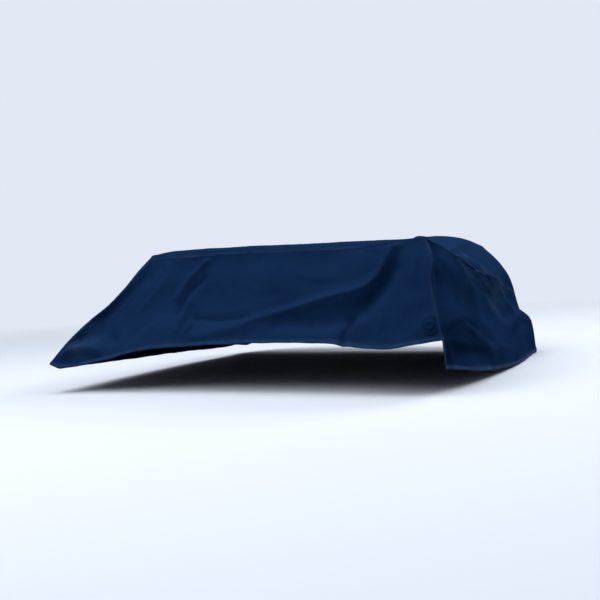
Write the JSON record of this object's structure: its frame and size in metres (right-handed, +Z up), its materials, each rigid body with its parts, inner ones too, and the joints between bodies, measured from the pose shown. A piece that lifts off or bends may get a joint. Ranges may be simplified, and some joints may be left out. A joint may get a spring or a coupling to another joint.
{
  "type": "half car cover",
  "caption": "Fitted navy cloth half cover for a small open two-seat roadster, shaped over windscreen, cockpit and driver's roll hoop, with a bound hem.",
  "frame": {"origin": "middle of the windscreen's top rail, just under the cloth", "axes": "+X to the car's left, +Y to its rear, +Z up; the windscreen panel faces -Y"},
  "size_m": [1.463, 1.4331, 0.493],
  "materials": {
    "cloth": "matt woven navy cloth with a faint sheen",
    "binding": "smooth navy binding tape, a little lighter than the cloth",
    "patch": "same cloth as the panels, doubled"
  },
  "bodies": {
    "root": {"windscreen_panel": "cloth", "top_panel": "cloth", "left_side_panel": "cloth", "right_side_panel": "cloth", "hem_binding": "binding", "corner_patch": "patch"}
  },
  "joints": []
}
